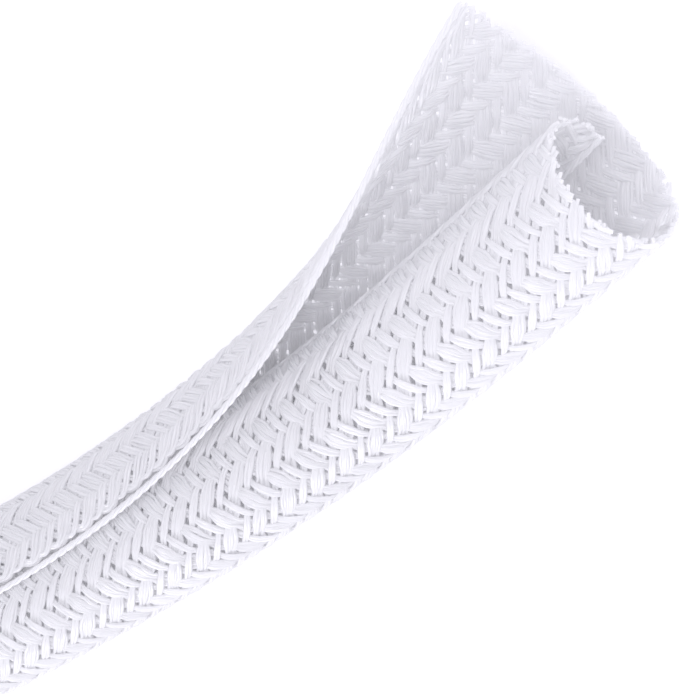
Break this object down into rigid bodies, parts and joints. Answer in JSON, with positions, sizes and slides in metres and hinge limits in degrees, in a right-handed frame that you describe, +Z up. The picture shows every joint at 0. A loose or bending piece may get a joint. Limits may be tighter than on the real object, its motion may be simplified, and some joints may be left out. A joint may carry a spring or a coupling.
{
  "type": "split braided cable sleeve",
  "caption": "Split self-wrapping braided cable sleeve in translucent white polyester, with one end opened and spread.",
  "frame": {"origin": "middle of the bounding box in plan, at the level that the sleeve rests on", "axes": "+X along the sleeve towards its opened end, +Y towards the side that the flap spreads to, +Z up"},
  "size_m": [0.3056, 0.0398, 0.0169],
  "materials": {
    "polyester_braid": "satin"
  },
  "bodies": {
    "root": {"braided_sleeve": "polyester_braid"}
  },
  "joints": []
}
